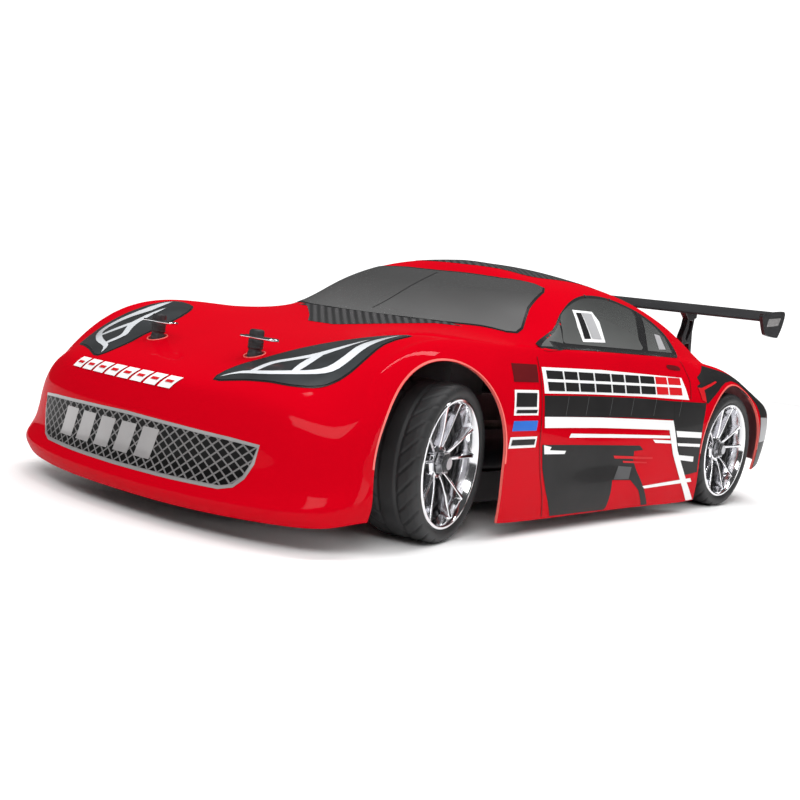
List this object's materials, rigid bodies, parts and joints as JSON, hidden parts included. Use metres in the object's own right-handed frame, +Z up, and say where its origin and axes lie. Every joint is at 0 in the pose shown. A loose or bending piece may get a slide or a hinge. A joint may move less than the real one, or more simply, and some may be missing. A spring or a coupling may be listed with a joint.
{
  "type": "radio-controlled drift car",
  "caption": "Electric radio-controlled drift car with a glossy red coupe body shell, chrome wheels, black rear wing, double-wishbone suspension and shaft drive.",
  "frame": {"origin": "bounding box centre in X and Y, on the ground", "axes": "+X the car's left, -Y the nose, +Z up"},
  "size_m": [0.2014, 0.4278, 0.1184],
  "materials": {
    "shell_red": "gloss",
    "wing_black": "satin",
    "post_black": "satin",
    "chassis_black": "matt",
    "case_black": "matt",
    "black_nylon": "matt",
    "foam": "matt",
    "steel": "satin",
    "chrome": "mirror",
    "tyre_rubber": "matt",
    "shock_alloy": "satin",
    "spring_steel": "satin",
    "battery_wrap": "gloss",
    "servo_black": "satin",
    "motor_can": "satin",
    "gear_plastic": "matt"
  },
  "bodies": {
    "chassis": {"body_shell": "shell_red", "rear_wing": "wing_black", "wing_mounts": "wing_black", "body_posts": "post_black", "chassis_tub": "chassis_black", "bumper": "foam", "gearbox_cases": "case_black", "shock_towers": "chassis_black", "hinge_pins": "steel", "shock_bodies": "shock_alloy", "shock_springs": "spring_steel", "battery_pack": "battery_wrap", "speed_controller": "servo_black", "receiver": "servo_black", "steering_servo": "servo_black", "motor": "motor_can"},
    "clips": {"body_clips": "steel"},
    "crank_left": {"crank_left": "black_nylon"},
    "crank_right": {"crank_right": "black_nylon"},
    "drag_link": {"drag_link": "black_nylon"},
    "tie_rod_left": {"tie_rod_left": "black_nylon"},
    "tie_rod_right": {"tie_rod_right": "black_nylon"},
    "motor_pinion": {"motor_pinion": "steel"},
    "centre_shaft": {"centre_shaft": "gear_plastic"},
    "differential_front": {"differential_front": "steel"},
    "differential_rear": {"differential_rear": "steel"},
    "arm_front_left": {"arm_front_left": "black_nylon"},
    "link_front_left": {"link_front_left": "steel"},
    "shock_rod_front_left": {"shock_rod_front_left": "steel"},
    "drive_shaft_front_left": {"drive_shaft_front_left": "steel"},
    "wheel_front_left": {"axle_front_left": "steel", "rim_front_left": "chrome", "tyre_front_left": "tyre_rubber"},
    "c_hub_front_left": {"c_hub_front_left": "black_nylon"},
    "knuckle_front_left": {"knuckle_front_left": "black_nylon"},
    "arm_front_right": {"arm_front_right": "black_nylon"},
    "link_front_right": {"link_front_right": "steel"},
    "shock_rod_front_right": {"shock_rod_front_right": "steel"},
    "drive_shaft_front_right": {"drive_shaft_front_right": "steel"},
    "wheel_front_right": {"axle_front_right": "steel", "rim_front_right": "chrome", "tyre_front_right": "tyre_rubber"},
    "c_hub_front_right": {"c_hub_front_right": "black_nylon"},
    "knuckle_front_right": {"knuckle_front_right": "black_nylon"},
    "arm_rear_left": {"arm_rear_left": "black_nylon"},
    "link_rear_left": {"link_rear_left": "steel"},
    "shock_rod_rear_left": {"shock_rod_rear_left": "steel"},
    "drive_shaft_rear_left": {"drive_shaft_rear_left": "steel"},
    "wheel_rear_left": {"axle_rear_left": "steel", "rim_rear_left": "chrome", "tyre_rear_left": "tyre_rubber"},
    "upright_rear_left": {"upright_rear_left": "black_nylon"},
    "arm_rear_right": {"arm_rear_right": "black_nylon"},
    "link_rear_right": {"link_rear_right": "steel"},
    "shock_rod_rear_right": {"shock_rod_rear_right": "steel"},
    "drive_shaft_rear_right": {"drive_shaft_rear_right": "steel"},
    "wheel_rear_right": {"axle_rear_right": "steel", "rim_rear_right": "chrome", "tyre_rear_right": "tyre_rubber"},
    "upright_rear_right": {"upright_rear_right": "black_nylon"}
  },
  "joints": [
    {"name": "steer", "type": "hinge", "parent": "chassis", "child": "crank_left", "pos_m": [0.017, -0.0954, 0.039], "axis": [0, 0, 1], "range_deg": [-32, 8]},
    {"name": "crank_right_turn", "type": "hinge", "parent": "chassis", "child": "crank_right", "pos_m": [-0.017, -0.0954, 0.039], "axis": [0, 0, 1], "range_deg": [-32, 8]},
    {"name": "drag_link_turn", "type": "hinge", "parent": "crank_left", "child": "drag_link", "pos_m": [0.01409, -0.08171, 0.036], "axis": [0, 0, 1], "range_deg": [-8, 32]},
    {"name": "centre_shaft_spin", "type": "hinge", "parent": "chassis", "child": "centre_shaft", "pos_m": [0, 0.0046, 0.032], "axis": [0, 1, 0], "continuous": true},
    {"name": "pinion_spin", "type": "hinge", "parent": "chassis", "child": "motor_pinion", "pos_m": [-0.0261, 0.0046, 0.028], "axis": [0, 1, 0], "continuous": true},
    {"name": "differential_front_spin", "type": "hinge", "parent": "chassis", "child": "differential_front", "pos_m": [0, -0.1254, 0.032], "axis": [1, 0, 0], "continuous": true},
    {"name": "differential_rear_spin", "type": "hinge", "parent": "chassis", "child": "differential_rear", "pos_m": [0, 0.1346, 0.032], "axis": [1, 0, 0], "continuous": true},
    {"name": "suspension_front_left", "type": "hinge", "parent": "chassis", "child": "arm_front_left", "pos_m": [0.02, -0.1254, 0.017], "axis": [0, -1, 0], "range_deg": [-4, 5], "stiffness_Nm_per_rad": 1.2, "springref_deg": -8.02},
    {"name": "link_front_left_swing", "type": "hinge", "parent": "chassis", "child": "link_front_left", "pos_m": [0.034, -0.1254, 0.048], "axis": [0, -1, 0], "range_deg": [-4, 5]},
    {"name": "shock_front_left_slide", "type": "slide", "parent": "chassis", "child": "shock_rod_front_left", "axis": [0, 0, 1], "range_m": [-0.0017, 0.00211], "deforming": ["shock_springs"]},
    {"name": "drive_shaft_front_left_spin", "type": "hinge", "parent": "link_front_left", "child": "drive_shaft_front_left", "pos_m": [0.034, -0.1254, 0.032], "axis": [1, 0, 0], "continuous": true},
    {"name": "c_hub_front_left_turn", "type": "hinge", "parent": "arm_front_left", "child": "c_hub_front_left", "pos_m": [0.062, -0.1254, 0.017], "axis": [0, -1, 0], "range_deg": [-5, 4]},
    {"name": "kingpin_left", "type": "hinge", "parent": "c_hub_front_left", "child": "knuckle_front_left", "pos_m": [0.076, -0.1254, 0.032], "axis": [0, 0, 1], "range_deg": [-32, 8]},
    {"name": "wheel_front_left_spin", "type": "hinge", "parent": "knuckle_front_left", "child": "wheel_front_left", "pos_m": [0.076, -0.1254, 0.032], "axis": [0.9781, 0.2079, 0], "continuous": true},
    {"name": "tie_rod_left_swing", "type": "hinge", "parent": "drag_link", "child": "tie_rod_left", "pos_m": [0.03109, -0.11171, 0.041], "axis": [0, -1, 0], "range_deg": [-4, 5]},
    {"name": "suspension_front_right", "type": "hinge", "parent": "chassis", "child": "arm_front_right", "pos_m": [-0.02, -0.1254, 0.017], "axis": [0, 1, 0], "range_deg": [-4, 5], "stiffness_Nm_per_rad": 1.2, "springref_deg": -8.02},
    {"name": "link_front_right_swing", "type": "hinge", "parent": "chassis", "child": "link_front_right", "pos_m": [-0.034, -0.1254, 0.048], "axis": [0, 1, 0], "range_deg": [-4, 5]},
    {"name": "shock_front_right_slide", "type": "slide", "parent": "chassis", "child": "shock_rod_front_right", "axis": [0, 0, 1], "range_m": [-0.0017, 0.00211], "deforming": ["shock_springs"]},
    {"name": "drive_shaft_front_right_spin", "type": "hinge", "parent": "link_front_right", "child": "drive_shaft_front_right", "pos_m": [-0.034, -0.1254, 0.032], "axis": [1, 0, 0], "continuous": true},
    {"name": "c_hub_front_right_turn", "type": "hinge", "parent": "arm_front_right", "child": "c_hub_front_right", "pos_m": [-0.062, -0.1254, 0.017], "axis": [0, 1, 0], "range_deg": [-5, 4]},
    {"name": "kingpin_right", "type": "hinge", "parent": "c_hub_front_right", "child": "knuckle_front_right", "pos_m": [-0.076, -0.1254, 0.032], "axis": [0, 0, 1], "range_deg": [-32, 8]},
    {"name": "wheel_front_right_spin", "type": "hinge", "parent": "knuckle_front_right", "child": "wheel_front_right", "pos_m": [-0.076, -0.1254, 0.032], "axis": [0.9781, 0.2079, 0], "continuous": true},
    {"name": "tie_rod_right_swing", "type": "hinge", "parent": "drag_link", "child": "tie_rod_right", "pos_m": [-0.03691, -0.11171, 0.041], "axis": [0, 1, 0], "range_deg": [-4, 5]},
    {"name": "suspension_rear_left", "type": "hinge", "parent": "chassis", "child": "arm_rear_left", "pos_m": [0.02, 0.1346, 0.017], "axis": [0, -1, 0], "range_deg": [-4, 5], "stiffness_Nm_per_rad": 1.2, "springref_deg": -8.02},
    {"name": "link_rear_left_swing", "type": "hinge", "parent": "chassis", "child": "link_rear_left", "pos_m": [0.024, 0.1346, 0.048], "axis": [0, -1, 0], "range_deg": [-4, 5]},
    {"name": "shock_rear_left_slide", "type": "slide", "parent": "chassis", "child": "shock_rod_rear_left", "axis": [0, 0, 1], "range_m": [-0.0017, 0.00211], "deforming": ["shock_springs"]},
    {"name": "drive_shaft_rear_left_spin", "type": "hinge", "parent": "link_rear_left", "child": "drive_shaft_rear_left", "pos_m": [0.024, 0.1346, 0.032], "axis": [1, 0, 0], "continuous": true},
    {"name": "upright_rear_left_turn", "type": "hinge", "parent": "arm_rear_left", "child": "upright_rear_left", "pos_m": [0.062, 0.1346, 0.017], "axis": [0, -1, 0], "range_deg": [-5, 4]},
    {"name": "wheel_rear_left_spin", "type": "hinge", "parent": "upright_rear_left", "child": "wheel_rear_left", "pos_m": [0.076, 0.1346, 0.032], "axis": [1, 0, 0], "continuous": true},
    {"name": "suspension_rear_right", "type": "hinge", "parent": "chassis", "child": "arm_rear_right", "pos_m": [-0.02, 0.1346, 0.017], "axis": [0, 1, 0], "range_deg": [-4, 5], "stiffness_Nm_per_rad": 1.2, "springref_deg": -8.02},
    {"name": "link_rear_right_swing", "type": "hinge", "parent": "chassis", "child": "link_rear_right", "pos_m": [-0.024, 0.1346, 0.048], "axis": [0, 1, 0], "range_deg": [-4, 5]},
    {"name": "shock_rear_right_slide", "type": "slide", "parent": "chassis", "child": "shock_rod_rear_right", "axis": [0, 0, 1], "range_m": [-0.0017, 0.00211], "deforming": ["shock_springs"]},
    {"name": "drive_shaft_rear_right_spin", "type": "hinge", "parent": "link_rear_right", "child": "drive_shaft_rear_right", "pos_m": [-0.024, 0.1346, 0.032], "axis": [1, 0, 0], "continuous": true},
    {"name": "upright_rear_right_turn", "type": "hinge", "parent": "arm_rear_right", "child": "upright_rear_right", "pos_m": [-0.062, 0.1346, 0.017], "axis": [0, 1, 0], "range_deg": [-5, 4]},
    {"name": "wheel_rear_right_spin", "type": "hinge", "parent": "upright_rear_right", "child": "wheel_rear_right", "pos_m": [-0.076, 0.1346, 0.032], "axis": [1, 0, 0], "continuous": true},
    {"name": "clip_pull", "type": "slide", "parent": "chassis", "child": "clips", "axis": [1, 0, 0], "range_m": [0, 0.016]}
  ],
  "couplings": [
    {"joint": "crank_right_turn", "follows": "steer", "ratio": 1},
    {"joint": "drag_link_turn", "follows": "steer", "ratio": -1},
    {"joint": "pinion_spin", "follows": "centre_shaft_spin", "ratio": -3.8889},
    {"joint": "differential_front_spin", "follows": "centre_shaft_spin", "ratio": 0.38461},
    {"joint": "differential_rear_spin", "follows": "centre_shaft_spin", "ratio": 0.38461},
    {"joint": "link_front_left_swing", "follows": "suspension_front_left", "ratio": 1},
    {"joint": "shock_front_left_slide", "follows": "suspension_front_left", "m_per_rad": 0.024},
    {"joint": "drive_shaft_front_left_spin", "follows": "centre_shaft_spin", "ratio": 0.38461},
    {"joint": "c_hub_front_left_turn", "follows": "suspension_front_left", "ratio": -1},
    {"joint": "kingpin_left", "follows": "steer", "ratio": 1},
    {"joint": "wheel_front_left_spin", "follows": "centre_shaft_spin", "ratio": 0.38461},
    {"joint": "tie_rod_left_swing", "follows": "suspension_front_left", "ratio": 1},
    {"joint": "link_front_right_swing", "follows": "suspension_front_right", "ratio": 1},
    {"joint": "shock_front_right_slide", "follows": "suspension_front_right", "m_per_rad": 0.024},
    {"joint": "drive_shaft_front_right_spin", "follows": "centre_shaft_spin", "ratio": 0.38461},
    {"joint": "c_hub_front_right_turn", "follows": "suspension_front_right", "ratio": -1},
    {"joint": "kingpin_right", "follows": "steer", "ratio": 1},
    {"joint": "wheel_front_right_spin", "follows": "centre_shaft_spin", "ratio": 0.38461},
    {"joint": "tie_rod_right_swing", "follows": "suspension_front_right", "ratio": 1},
    {"joint": "link_rear_left_swing", "follows": "suspension_rear_left", "ratio": 1},
    {"joint": "shock_rear_left_slide", "follows": "suspension_rear_left", "m_per_rad": 0.024},
    {"joint": "drive_shaft_rear_left_spin", "follows": "centre_shaft_spin", "ratio": 0.38461},
    {"joint": "upright_rear_left_turn", "follows": "suspension_rear_left", "ratio": -1},
    {"joint": "wheel_rear_left_spin", "follows": "centre_shaft_spin", "ratio": 0.38461},
    {"joint": "link_rear_right_swing", "follows": "suspension_rear_right", "ratio": 1},
    {"joint": "shock_rear_right_slide", "follows": "suspension_rear_right", "m_per_rad": 0.024},
    {"joint": "drive_shaft_rear_right_spin", "follows": "centre_shaft_spin", "ratio": 0.38461},
    {"joint": "upright_rear_right_turn", "follows": "suspension_rear_right", "ratio": -1},
    {"joint": "wheel_rear_right_spin", "follows": "centre_shaft_spin", "ratio": 0.38461}
  ]
}
